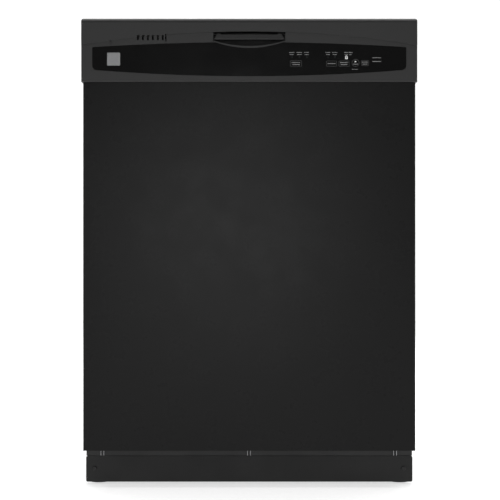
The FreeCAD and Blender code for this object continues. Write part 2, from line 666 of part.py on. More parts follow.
def console():
    """Moulded console shell: rounded top, arched crease, recessed band, lip under the handle."""
    shell = box(-W / 2, W / 2, Y_FRONT, -252, CON_Z0, H)
    corners = [e for e in edges_along(shell, "y") if e.BoundBox.ZMin > H - 1]
    shell = shell.makeFillet(5, corners)
    bullnose = box(-W / 2 - 5, W / 2 + 5, Y_FRONT, -252, CON_Z0 - 5, H)
    crown = [e for e in edges_along(bullnose, "x") if e.BoundBox.YMax < Y_FRONT + 1 and e.BoundBox.ZMin > H - 1]
    shell = shell.common(bullnose.makeFillet(8, crown))
    band = crease_face(Y_FRONT - 3).extrude(V(0, BAND_Y - Y_FRONT + 3, 0))
    heel = box(-W / 2 - 5, W / 2 + 5, BAND_Y - 5, BAND_Y + 20, CON_Z0, H)
    round_heel = box(-W / 2 - 6, W / 2 + 6, BAND_Y, BAND_Y + 30, CON_Z0, H + 10)
    round_heel = round_heel.makeFillet(1.5, [e for e in edges_along(round_heel, "x")
                                             if e.BoundBox.YMax < BAND_Y + 1 and e.BoundBox.ZMax < CON_Z0 + 1])
    heel = cut(heel, round_heel, box(-W, W, Y_FRONT - 20, Y_FRONT + 40, CON_Z0 + 3, H + 5))
    lip_out = pocket_face(Y_FRONT, LIP).extrude(V(0, 6, 0))
    lip_cut = box(-90, 90, Y_FRONT - 5, Y_FRONT + 10, H - 38.5, H)
    lip = cut(lip_out, lip_cut)
    shell = fuse(cut(shell, band, heel), lip)
    hollow = box(-W / 2 + 3, W / 2 - 3, Y_FRONT + 5, -240, CON_Z0 + 2.5, H - 3)
    back = box(-W / 2 - 5, W / 2 + 5, -262, -240, CON_Z0 - 5, H - 3)
    floor = box(-W / 2 + 3, W / 2 - 3, -291.5, -240, CON_Z0 - 5, CON_Z0 + 5)
    seat = overlay_outline(BAND_Y - 5, 0.25).extrude(V(0, 6.2, 0))
    seat = cut(seat, pocket_face(BAND_Y - 6, LIP).extrude(V(0, 9, 0)))
    pocket = pocket_face(Y_FRONT - 5, 0.0).extrude(V(0, 30, 0))
    tools = [hollow, back, floor, seat, pocket]
    for x in SLOTS:
        tools.append(rbox(x - 0.9, x + 0.9, Y_FRONT - 5, -295, H - 39.6, H - 30.6, 0.5))
        flare = face_of([(x - 0.9, Y_FRONT - 5, H - 39.6), (x + 7.7, Y_FRONT - 5, H - 39.6),
                         (x + 0.9, BAND_Y + 2.4, H - 39.6), (x - 0.9, BAND_Y + 2.4, H - 39.6),
                         (x - 0.9, Y_FRONT - 5, H - 39.6)])
        tools.append(flare.extrude(V(0, 0, 9.0)))
    tools.append(box(-151.6, -149.2, Y_FRONT - 5, -295, H - 42.2, H - 28.8))
    tools.append(box(-251.8, -247.8, Y_FRONT - 5, BAND_Y + 2.6, H - 47.0, H - 40.0))
    for x, drop, w, h in KEYS:
        tools.append(box(x - w / 2 + 3, x + w / 2 - 3, -320, -290, H - drop - h / 2 + 2.5, H - drop + h / 2 - 2.5))
    tools.append(cyl(ROUND_KEY[0], -320, H - ROUND_KEY[1], 4.0, 30, "y"))
    for x in LED_X:
        tools.append(box(x - 1.8, x + 1.8, -320, -290, H - 72.4, H - 68.0))
    return cut(shell, *tools)


LED_X = (76.7, 90.4, 103.5, 142.1, 154.1, 175.2)


def control_overlay():
    """Glossy strip in the console, with openings for the keys and lamps."""
    y0 = BAND_Y - 0.35
    y1 = BAND_Y + 0.9
    strip = overlay_outline(y0).extrude(V(0, y1 - y0, 0))
    low = [e for e in edges_along(strip, "y") if e.BoundBox.ZMax < H - 80]
    high = [e for e in edges_along(strip, "y") if e.BoundBox.ZMin > H - 80]
    strip = strip.makeFillet(9, low)
    high = [e for e in edges_along(strip, "y") if e.BoundBox.ZMin > H - 60]
    strip = strip.makeFillet(2.5, high)
    tools = []
    for x, drop, w, h in KEYS:
        tools.append(rbox(x - w / 2 - GAP, x + w / 2 + GAP, y0 - 1, y1 + 1,
                          H - drop - h / 2 - GAP, H - drop + h / 2 + GAP, 1.4))
    tools.append(cyl(ROUND_KEY[0], y0 - 1, H - ROUND_KEY[1], ROUND_KEY[2] + GAP, 4, "y"))
    for x in LED_X:
        tools.append(box(x - 1.5, x + 1.5, y0 - 1, y1 + 1, H - 71.9, H - 68.5))
    tools.append(pocket_face(y0 - 1, LIP + GAP).extrude(V(0, 5, 0)))
    return cut(strip, *tools)


def key(x, drop, w, h):
    """Rounded key cap with a stem."""
    y0 = BAND_Y - 0.35
    cap = rbox(x - w / 2, x + w / 2, y0, y0 + 1.0, H - drop - h / 2, H - drop + h / 2, 1.1)
    stem = box(x - w / 2 + 3.4, x + w / 2 - 3.4, y0 + 0.9, -297.6, H - drop - h / 2 + 2.9, H - drop + h / 2 - 2.9)
    return fuse(cap, stem)


def round_key():
    """Round start key with a stem."""
    x, drop, r = ROUND_KEY
    y0 = BAND_Y - 0.35
    cap = cyl(x, y0, H - drop, r, 1.0, "y")
    stem = cyl(x, y0 + 0.9, H - drop, 3.7, -297.6 - y0 - 0.9, "y")
    return fuse(cap, stem)


def indicator_lights():
    """Small lamp windows in the control strip."""
    out = []
    for x in LED_X:
        out.append(box(x - 1.2, x + 1.2, BAND_Y - 0.3, -297.6, H - 71.6, H - 68.8))
    return out


def badge():
    """Plain square plate at the left of the control strip."""
    y1 = BAND_Y - 0.35 - 0.05
    return rbox(-244.5 - 11.65, -244.5 + 11.65, y1 - 1.0, y1, H - 73.9 - 11.65, H - 73.9 + 11.65, 1.2)


def control_board():
    """Board with its case behind the keys."""
    board = box(60, 232, -297.0, -295.4, H - 100, H - 58)
    case = cut(box(56, 236, -295.1, -276, H - 104, H - 54), box(58.5, 233.5, -300, -278.5, H - 101.5, H - 56.5))
    return [board, case]


def handle_pocket():
    """Cup behind the console that the fingers reach into; it also carries the handle pivots."""
    y0 = -305.6
    depth = 26.0
    outer = pocket_face(y0, 2.2).extrude(V(0, depth + 2, 0))
    inner = pocket_face(y0 - 5, 0.4).extrude(V(0, depth + 5, 0))
    bore = cyl(-80, LEVER_Y, LEVER_Z, LEVER_R + FIT, 160, "x")
    latch_window = box(-14, 14, -282, -270, H - 34, H - 27.5)
    return cut(outer, inner, bore, latch_window)


LEVER_Y = -300.0
LEVER_Z = H - 27.6
LEVER_R = 1.6


def handle_lever():
    """Bar handle hung from two pins, wider along its lower edge."""
    y0 = Y_FRONT + 0.4
    bar = face_of([(-58.5, y0, H - 29.8), (58.5, y0, H - 29.8), (64.0, y0, H - 39.0),
                   (-64.0, y0, H - 39.0), (-58.5, y0, H - 29.8)]).extrude(V(0, 7.5, 0))
    low = [e for e in edges_along(bar, "x") if e.BoundBox.ZMax < H - 38 and e.BoundBox.YMax < y0 + 1]
    bar = bar.makeFillet(1.8, low)
    arms = []
    for s in (-1, 1):
        boss = cyl(51.5, LEVER_Y, LEVER_Z, 2.3, 7, "x")
        web = face_of([(51.5, y0 + 0.6, H - 31.0), (51.5, y0 + 0.6, H - 28.2), (51.5, -304.5, H - 26.6),
                       (51.5, LEVER_Y, H - 26.6), (51.5, LEVER_Y + 2.3, LEVER_Z), (51.5, LEVER_Y + 2.3, H - 34.0),
                       (51.5, -304.0, H - 36.0), (51.5, y0 + 0.6, H - 31.0)]).extrude(V(7, 0, 0))
        pin = cyl(57, LEVER_Y, LEVER_Z, LEVER_R, 10.0, "x")
        arm = fuse(boss, web, pin)
        arms.append(arm if s > 0 else mirror_x(arm))
    tail = box(-10, 10, LEVER_Y - 4, -285.5, H - 33, H - 28.5)
    return fuse(bar, *arms, tail)


def latch_housing():
    """Latch case in the door head, with a mouth for the strike."""
    case = box(-32, 32, -277.5, -249.0, 812, 837.7)
    hollow = box(-29.5, 29.5, -275.5, -251.0, 814.5, 832.0)
    mouth = box(-8.5, 8.5, -269, -240, 831, 850)
    bore = cyl(-40, JAW_Y, JAW_Z, 2.0 + FIT, 80, "x")
    window = box(-14, 14, -290, -275, 814.6, 829)
    return cut(case, hollow, mouth, bore, window)


JAW_Y = -262.0
JAW_Z = 822.0


def latch_jaw():
    """Jaw inside the latch case on its own pin."""
    pin = cyl(-31.5, JAW_Y, JAW_Z, 2.0, 63, "x")
    boss = cyl(-12, JAW_Y, JAW_Z, 4.5, 24, "x")
    horn = box(-6, 6, JAW_Y - 1.8, JAW_Y + 1.8, JAW_Z, JAW_Z + 13.4)
    tail = box(-9, 9, -276.8, JAW_Y, JAW_Z - 1.6, JAW_Z + 1.4)
    return fuse(pin, boss, horn, tail)


def vent_duct():
    """Duct from the liner's vent hole up to the slots in the console."""
    body = fuse(box(-208, -145, -289, -262, 707, 818.5), box(-208, -145, -296.5, -262, 745, 818.5))
    inside = fuse(box(-206, -147, -287, -264, 709, 816.5), box(-206, -147, -294.5, -264, 747, 816.5))
    throat = cyl(-175, -270, 735, 24, 22.7, "y")
    bore = cyl(-175, -272, 735, 22, 30, "y")
    slots = [box(x - 1.4, x + 1.4, -300, -290, H - 40.5, H - 32.5) for x in SLOTS]
    slots.append(box(-151.8, -149.0, -300, -290, H - 42.4, H - 31.0))
    louvres = [box(-196.5, -153.5, -250, -248, 734 + k, 736 + k) for k in (-8, 0, 8)]
    return fuse(cut(fuse(body, throat), inside, bore, *slots), *louvres)


def dispenser_body():
    """Dispenser set in the liner: a detergent cup and a round rinse-aid filler."""
    rim = rbox(CUP_X0 - 18, 98, LINER_Y + GAP - 6, LINER_Y + 2.0, CUP_Z0 - 18, CUP_Z1 + 18, 9)
    box_body = rbox(CUP_X0 - 11.5, 91.5, -286, LINER_Y, CUP_Z0 - 11.5, CUP_Z1 + 11.5, 7)
    cup = rbox(CUP_X0, CUP_X1, -280, -240, CUP_Z0, CUP_Z1, 8)
    neck = cyl(RINSE_X, -262, RINSE_Z, 17, 30, "y")
    tank = cyl(RINSE_X, -282, RINSE_Z, 14, 30, "y")
    bore = cyl(CUP_X0 - 30, LID_Y, LID_Z, 1.5 + FIT, 200, "x")
    lugs = []
    for x in (CUP_X0 - 6, CUP_X1 + 2.4):
        lugs.append(box(x, x + 3.6, LINER_Y + 1, LID_Y + 3, LID_Z - 3, LID_Z + 3))
    body = fuse(rim, box_body)
    return cut(fuse(cut(body, cup, neck, tank), *lugs), bore)


LID_Y = -242.0
LID_Z = CUP_Z0 - 5.0


def detergent_lid():
    """Hinged lid over the detergent cup."""
    y0 = LINER_Y + 2.0 + GAP
    plate = rbox(CUP_X0 - 2, CUP_X1 + 2, y0, y0 + 2.6, LID_Z, CUP_Z1 + 4, 6)
    knuckle = cyl(CUP_X0 - 2, LID_Y, LID_Z, 2.6, CUP_X1 - CUP_X0 + 4, "x")
    pin = cyl(CUP_X0 - 5.8, LID_Y, LID_Z, 1.5, CUP_X1 - CUP_X0 + 11.6, "x")
    grip = box(-30, -14, y0 + 2, y0 + 4.6, CUP_Z1 - 12, CUP_Z1 - 6)
    return fuse(plate, knuckle, pin, grip)


def rinse_cap():
    """Round screw cap with a bar grip."""
    stem = cyl(RINSE_X, -261, RINSE_Z, 16.95, 15.9, "y")
    head = cyl(RINSE_X, -244.7, RINSE_Z, 20, 2.2, "y")
    neck = cyl(RINSE_X, -246, RINSE_Z, 15, 2, "y")
    bar = rbox(RINSE_X - 16, RINSE_X + 16, -243, -240.6, RINSE_Z - 2.5, RINSE_Z + 2.5, 2.2)
    return fuse(stem, neck, head, bar)


# ---- racks ----
LOW_X = 246.0          # lower rack wire hoops
LOW_Y0 = -204.0
LOW_Y1 = 252.0
LOW_FLOOR = 170.0
LOW_TOP = 300.0
HOOP_R = 2.2
WIRE_R = 1.6
WHEEL_R = 18.0
WHEEL_Z = 153.0
WHEEL_Y = (-161.0, 190.0)
UP_X = 240.0           # upper rack wire hoops
UP_Y0 = -214.0
UP_Y1 = 254.0
UP_FLOOR = 512.0
UP_TOP = 628.0


def rack_wires(half, y0, y1, floor, top, lengthwise, crosswise, hoops):
    """Wire basket: cradles both ways inside level hoops."""
    out = []
    inset = HOOP_R + WIRE_R
    for z in hoops:
        out += hoop(-half, half, y0, y1, z, HOOP_R, 26)
    for x in lengthwise:
        out += cradle("y", x, y0 + inset, y1 - inset, floor, top, WIRE_R, 14)
    for y in crosswise:
        out += cradle("x", y, -half + inset, half - inset, floor - 2 * WIRE_R, top, WIRE_R, 14)
    return out


def tines(xs, ys, floor, top):
    """Straight upright wires standing on the lengthwise wires."""
    return [rod((x, y, floor), (x, y, top), 1.5) for x in xs for y in ys]


LOW_LEN = tuple(-210 + 60 * k for k in range(8))
LOW_CROSS = (-150.0, -60.0, 30.0, 120.0, 210.0)
TINE_Y = tuple(-165 + 30 * k for k in range(12))


def lower_rack():
    out = rack_wires(LOW_X, LOW_Y0, LOW_Y1, LOW_FLOOR, LOW_TOP, LOW_LEN, LOW_CROSS, (LOW_TOP - 2.2, 235.0))
    out += tines((-210, -90, 30), TINE_Y, LOW_FLOOR + WIRE_R, 252)
    for y in WHEEL_Y:
        clip = box(LOW_X + HOOP_R + 0.2, LOW_X + HOOP_R + 3.4, y - 13, y + 13, 143, 244)
        clip = clip.makeFillet(9, [e for e in edges_along(clip, "x") if e.BoundBox.ZMax < 150])
        axle = cyl(LOW_X + HOOP_R + 3, y, WHEEL_Z, 4, 13.0, "x")
        head = cyl(LOW_X + HOOP_R + 14.6, y, WHEEL_Z, 7, 2.0, "x")
        out += both(fuse(clip, axle, head))
    # handle lip at the front
    out.append(rbox(-70, 70, LOW_Y0 - 7, LOW_Y0 - HOOP_R - 0.1, LOW_TOP - 14, LOW_TOP + 3, 5))
    return out


def wheels(y):
    """Pair of lower rack wheels on one axle line, left and right."""
    x0 = LOW_X + HOOP_R + 4.2
    wheel = cyl(x0, y, WHEEL_Z, WHEEL_R, 9, "x")
    rim = [e for e in wheel.Edges if e.Curve.TypeId == "Part::GeomCircle"]
    wheel = wheel.makeFillet(1.5, rim)
    groove = cut(cyl(x0 + 7, y, WHEEL_Z, 14.5, 5, "x"), cyl(x0 + 5, y, WHEEL_Z, 8, 9, "x"))
    wheel = cut(wheel, groove, cyl(x0 - 3, y, WHEEL_Z, 4 + FIT, 20, "x"))
    spokes = []
    for k in range(5):
        a = 2 * pi * k / 5
        spokes.append(rod((x0 + 7.6, y + 7 * cos(a), WHEEL_Z + 7 * sin(a)),
                          (x0 + 7.6, y + 15 * cos(a), WHEEL_Z + 15 * sin(a)), 1.2))
    return both(fuse(wheel, *spokes))


BASKET_X0 = 154.0
BASKET_X1 = 204.0
BASKET_Y0 = -150.0
BASKET_Y1 = 150.0
BASKET_Z0 = 173.5
BASKET_Z1 = 292.0


def silverware_basket():
    """Cutlery basket with five cells, slotted walls and a carrying handle."""
    t = 2.0
    outer = rbox(BASKET_X0, BASKET_X1, BASKET_Y0, BASKET_Y1, BASKET_Z0, BASKET_Z1, 6, "z")
    tools = []
    cell = (BASKET_Y1 - BASKET_Y0 - 6 * t) / 5
    for k in range(5):
        y0 = BASKET_Y0 + t + k * (cell + t)
        tools.append(rbox(BASKET_X0 + t, BASKET_X1 - t, y0, y0 + cell, BASKET_Z0 + t, BASKET_Z1 + 5, 4, "z"))
        for j in range(4):
            y = y0 + cell * (j + 0.5) / 4
            tools.append(rbox(BASKET_X0 - 5, BASKET_X1 + 5, y - 3, y + 3, BASKET_Z0 + 14, BASKET_Z0 + 50, 2.5, "x"))
            tools.append(rbox(BASKET_X0 - 5, BASKET_X1 + 5, y - 3, y + 3, BASKET_Z0 + 58, BASKET_Z0 + 94, 2.5, "x"))
            tools.append(box(BASKET_X0 + 8, BASKET_X1 - 8, y - 2.5, y + 2.5, BASKET_Z0 - 5, BASKET_Z0 + 5))
    basket = cut(outer, *tools)
    mid = (BASKET_X0 + BASKET_X1) / 2
    grip = rbox(mid - 1.5, mid + 1.5, -70, 70, BASKET_Z1 - 20, BASKET_Z1 + 52, 14, "x")
    window = rbox(mid - 5, mid + 5, -58, 58, BASKET_Z1 - 8, BASKET_Z1 + 40, 9, "x")
    grip = cut(grip, window)
    return fuse(basket, grip)


UP_LEN = tuple(-196 + 49 * k for k in range(9))
UP_CROSS = (-160.0, -80.0, 0.0, 80.0, 160.0, 230.0)


def upper_rack():
    out = rack_wires(UP_X, UP_Y0, UP_Y1, UP_FLOOR, UP_TOP, UP_LEN, UP_CROSS, (UP_TOP - 2.2, 566.0))
    ys = tuple(-170 + 34 * k for k in range(12))
    out += tines((-98, 0, 98), ys, UP_FLOOR + WIRE_R, 566)
    out.append(rbox(-80, 80, UP_Y0 - 7, UP_Y0 - HOOP_R - 0.1, UP_TOP - 15, UP_TOP + 3, 5))
    return out


def upper_rails():
    """Channels on the rack sides that run over the tub rollers, with brackets to the wires."""
    out = []
    z = RAIL_Z
    channel = box(256.5, 267.0, -236, 262, z - 11, z + 11)
    hollow = box(258.2, 270.0, -240, 270, z - 9.0, z + 9.0)
    rail = cut(channel, hollow)
    brackets = [box(UP_X + HOOP_R + 0.2, 257, y - 14, y + 14, z - 9, z + 9) for y in (-130, 170)]
    rail = fuse(rail, *brackets)
    return both(rail)


def manifold():
    """Tube under the upper rack from the back docking port to the middle spray arm."""
    tube = cyl(0, ARM_Y, DOCK_Z, 6.0, 239.5, "y")
    boss = cyl(0, ARM_Y, 489.5, 9, 16.5)
    shaft = cyl(0, ARM_Y, 474, 3.0, 20)
    stop = cyl(0, ARM_Y, 471.6, 6.0, 3)
    clips = [box(-12, 12, y - 4, y + 4, DOCK_Z + 2, UP_FLOOR - 3 * WIRE_R - 0.1) for y in (80, 200)]
    return fuse(tube, boss, shaft, stop, *clips)


def cup_shelf():
    """Folding wire shelf along the left side of the upper rack."""
    x = -UP_X + 8.5
    z = UP_TOP + 4.2
    out = [rod((x, -150, z), (x, 130, z), 2.0)]
    out.append(rod((x + 96, -150, z), (x + 96, 130, z), 2.0))
    for k in range(8):
        y = -146 + 39 * k
        out.append(rod((x + 2.0, y, z), (x + 94.0, y, z), 1.5))
    return out


def shelf_clips():
    """Clips on the rack's top wire that hold the folding shelf's axis."""
    out = []
    x = -UP_X + 8.5
    z = UP_TOP + 4.2
    for y in (-128, 108):
        block = box(-UP_X - 4.5, x + 4.5, y - 5, y + 5, UP_TOP + 0.2, z + 5)
        out.append(cut(block, cyl(x, y - 10, z, 2.0 + FIT, 20, "y")))
    return out


# ---- write every node ----
save("tub", tub())
save("tub_gasket", gasket())
save("tub_frame", tub_frame(), *mounting_brackets(), door_strike())
save("base_frame", base_frame())
save("insulation_blanket", insulation())
save("toe_panel", toe_panel())
save("access_panel", access_panel())
save("toe_screws", *[screw(x, TOE_Y - 2.2 - GAP, SCREW_Z, "y", 4.0, 8) for x in (-SCREW_X, SCREW_X)])
save("sump", sump())
save("filter_cup", filter_cup())
save("circulation_pump", circulation_pump())
save("drain_pump", drain_pump())
save("inlet_valve", inlet_valve())
save("fill_hose", fill_hose())
save("heating_element", *heater())
save("feed_tube", feed_tube())
save("junction_box", *junction_box())
save("float", float_piece())
save("door_springs", *door_springs())
save("roller_studs", *roller_studs())
save("rollers_front", *rollers(ROLLER_Y[0]))
save("rollers_rear", *rollers(ROLLER_Y[1]))
for name, sx, y in (("foot_front_left", -1, 0), ("foot_front_right", 1, 0),
                    ("foot_rear_left", -1, 1), ("foot_rear_right", 1, 1)):
    save(name, foot(sx * FOOT_X, FOOT_Y[y]))
save("lower_spray_arm", spray_arm(149.0, 225, 36, 8, 20, 10 + FIT, 1.0))
save("top_spray_arm", spray_arm(792.8, 110, 26, 5, 12, 3 + FIT, 0.5))
save("middle_spray_arm", spray_arm(475.5, 215, 32, 7, 14, 3 + FIT, 0.5))
save("door_panel", door_panel())
save("door_liner", door_liner())
save("sound_pad", sound_pad())
save("hinge_arms", *hinge_arms())
save("door_screws", *door_screws())
save("console", console())
save("control_overlay", control_overlay())
save("indicator_lights", *indicator_lights())
save("badge_plate", badge())
save("control_board", *control_board())
save("handle_pocket", handle_pocket())
save("latch_housing", latch_housing())
save("latch_jaw", latch_jaw())
save("vent_duct", vent_duct())
save("dispenser_body", dispenser_body())
save("detergent_lid", detergent_lid())
save("rinse_cap", rinse_cap())
save("handle_lever", handle_lever())
for n, k in enumerate(KEYS):
    save("key_" + str(n + 1), key(*k))
save("key_round", round_key())
save("lower_rack", *lower_rack())
save("wheels_front", *wheels(WHEEL_Y[0]))
save("wheels_rear", *wheels(WHEEL_Y[1]))
save("silverware_basket", silverware_basket())
save("upper_rack", *upper_rack(), *shelf_clips())
save("upper_rails", *upper_rails())
save("manifold", manifold())
save("cup_shelf", *cup_shelf())
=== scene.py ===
"""Black built-in dishwasher: looks, printed marks, soft pads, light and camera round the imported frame."""
import math
import random

import bmesh
import bpy
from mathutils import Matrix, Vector
from mathutils.noise import noise as noise_at


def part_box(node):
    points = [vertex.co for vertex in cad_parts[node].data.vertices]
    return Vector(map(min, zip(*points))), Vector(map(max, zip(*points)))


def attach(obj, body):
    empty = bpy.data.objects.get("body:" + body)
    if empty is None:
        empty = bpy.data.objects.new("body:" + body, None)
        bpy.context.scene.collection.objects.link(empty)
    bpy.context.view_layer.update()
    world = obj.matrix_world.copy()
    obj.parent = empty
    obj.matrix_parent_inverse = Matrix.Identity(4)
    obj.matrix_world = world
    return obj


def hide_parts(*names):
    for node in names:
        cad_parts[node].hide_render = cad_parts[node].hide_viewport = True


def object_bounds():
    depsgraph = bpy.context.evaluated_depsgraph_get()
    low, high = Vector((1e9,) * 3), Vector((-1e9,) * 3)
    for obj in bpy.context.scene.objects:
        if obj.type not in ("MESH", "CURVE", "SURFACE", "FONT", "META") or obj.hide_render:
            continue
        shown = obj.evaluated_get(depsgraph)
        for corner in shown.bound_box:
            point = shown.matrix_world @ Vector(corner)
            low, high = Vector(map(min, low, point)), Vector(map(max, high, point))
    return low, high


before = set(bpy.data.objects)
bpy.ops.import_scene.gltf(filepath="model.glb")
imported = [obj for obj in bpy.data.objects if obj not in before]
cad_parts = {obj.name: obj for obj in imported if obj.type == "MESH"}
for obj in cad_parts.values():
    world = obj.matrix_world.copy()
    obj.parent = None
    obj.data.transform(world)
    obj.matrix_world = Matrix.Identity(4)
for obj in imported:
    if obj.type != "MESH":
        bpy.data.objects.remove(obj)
CAD_BOX = [list(corner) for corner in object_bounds()]
random.seed(7)

MM = 0.001
TOP = CAD_BOX[1][2]                       # console top, from the frame
PRINT_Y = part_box("key_round")[0].y        # front of the glossy strip and its keys


# ---------------------------------------------------------------- materials
def nodes_of(name):
    mat = bpy.data.materials.new(name)
    mat.use_nodes = True
    tree = mat.node_tree
    tree.nodes.clear()
    out = tree.nodes.new("ShaderNodeOutputMaterial")
    shader = tree.nodes.new("ShaderNodeBsdfPrincipled")
    tree.links.new(shader.outputs[0], out.inputs[0])
    return mat, tree, shader


def noise(tree, vector, scale, detail=3.0, rough=0.5):
    n = tree.nodes.new("ShaderNodeTexNoise")
    n.inputs["Scale"].default_value = scale
    n.inputs["Detail"].default_value = detail
    n.inputs["Roughness"].default_value = rough
    tree.links.new(vector, n.inputs["Vector"])
    return n.outputs["Fac"]


def spread(tree, value, low, high, start=0.3, end=0.7):
    """The value's start..end mapped to low..high."""
    n = tree.nodes.new("ShaderNodeMapRange")
    n.inputs["From Min"].default_value = start
    n.inputs["From Max"].default_value = end
    n.inputs["To Min"].default_value = low
    n.inputs["To Max"].default_value = high
    tree.links.new(value, n.inputs["Value"])
    return n.outputs["Result"]


def two_tone(tree, value, dark, light):
    ramp = tree.nodes.new("ShaderNodeValToRGB")
    ramp.color_ramp.elements[0].position = 0.32
    ramp.color_ramp.elements[1].position = 0.68
    ramp.color_ramp.elements[0].color = (*dark, 1)
    ramp.color_ramp.elements[1].color = (*light, 1)
    tree.links.new(value, ramp.inputs["Fac"])
    return ramp.outputs["Color"]


def surface(name, colour, rough, metal=0.0, spec=0.5, tone=0.12, tone_scale=6.0, rough_spread=0.06,
            grain=900.0, grain_depth=0.00002, stretch=(1, 1, 1), sheen=0.0, wave=0.0):
    """Principled material with mottled colour, uneven roughness and a fine bump in object space."""
    mat, tree, shader = nodes_of(name)
    coords = tree.nodes.new("ShaderNodeTexCoord")
    mapping = tree.nodes.new("ShaderNodeMapping")
    mapping.inputs["Scale"].default_value = stretch
    tree.links.new(coords.outputs["Object"], mapping.inputs["Vector"])
    place = mapping.outputs["Vector"]
    blotch = noise(tree, place, tone_scale, 4.0)
    dark = tuple(c * (1 - tone) for c in colour)
    light = tuple(min(1.0, c * (1 + tone)) for c in colour)
    tree.links.new(two_tone(tree, blotch, dark, light), shader.inputs["Base Color"])
    smear = noise(tree, place, tone_scale * 3.7, 5.0, 0.6)
    tree.links.new(spread(tree, smear, rough - rough_spread, rough + rough_spread), shader.inputs["Roughness"])
    fine = noise(tree, place, grain, 2.0)
    bump = tree.nodes.new("ShaderNodeBump")
    bump.inputs["Strength"].default_value = 1.0
    bump.inputs["Distance"].default_value = grain_depth
    tree.links.new(fine, bump.inputs["Height"])
    last = bump.outputs["Normal"]
    if wave:
        broad = noise(tree, coords.outputs["Object"], 3.0, 1.0)
        ripple = tree.nodes.new("ShaderNodeBump")
        ripple.inputs["Distance"].default_value = wave
        tree.links.new(broad, ripple.inputs["Height"])
        tree.links.new(last, ripple.inputs["Normal"])
        last = ripple.outputs["Normal"]
    tree.links.new(last, shader.inputs["Normal"])
    shader.inputs["Metallic"].default_value = metal
    shader.inputs["Specular IOR Level"].default_value = spec
    shader.inputs["Sheen Weight"].default_value = sheen
    return mat


def fibre(name, colour, rough=0.95):
    """Needled felt: crossed fibres in bump and colour."""
    mat, tree, shader = nodes_of(name)
    coords = tree.nodes.new("ShaderNodeTexCoord")
    heights = []
    for scale in ((900, 60, 60), (60, 900, 60), (60, 60, 900)):
        mapping = tree.nodes.new("ShaderNodeMapping")
        mapping.inputs["Scale"].default_value = scale
        tree.links.new(coords.outputs["Object"], mapping.inputs["Vector"])
        heights.append(noise(tree, mapping.outputs["Vector"], 1.0, 4.0, 0.6))
    total = heights[0]
    for h in heights[1:]:
        add = tree.nodes.new("ShaderNodeMath")
        add.operation = "ADD"
        tree.links.new(total, add.inputs[0])
        tree.links.new(h, add.inputs[1])
        total = add.outputs[0]
    third = tree.nodes.new("ShaderNodeMath")
    third.operation = "MULTIPLY"
    third.inputs[1].default_value = 1 / 3
    tree.links.new(total, third.inputs[0])
    dark = tuple(c * 0.6 for c in colour)
    light = tuple(c * 1.5 for c in colour)
    tree.links.new(two_tone(tree, third.outputs[0], dark, light), shader.inputs["Base Color"])
    bump = tree.nodes.new("ShaderNodeBump")
    bump.inputs["Distance"].default_value = 0.0008
    tree.links.new(third.outputs[0], bump.inputs["Height"])
    tree.links.new(bump.outputs["Normal"], shader.inputs["Normal"])
    tree.links.new(spread(tree, third.outputs[0], rough - 0.08, rough + 0.05), shader.inputs["Roughness"])
    shader.inputs["Sheen Weight"].default_value = 0.25
    return mat


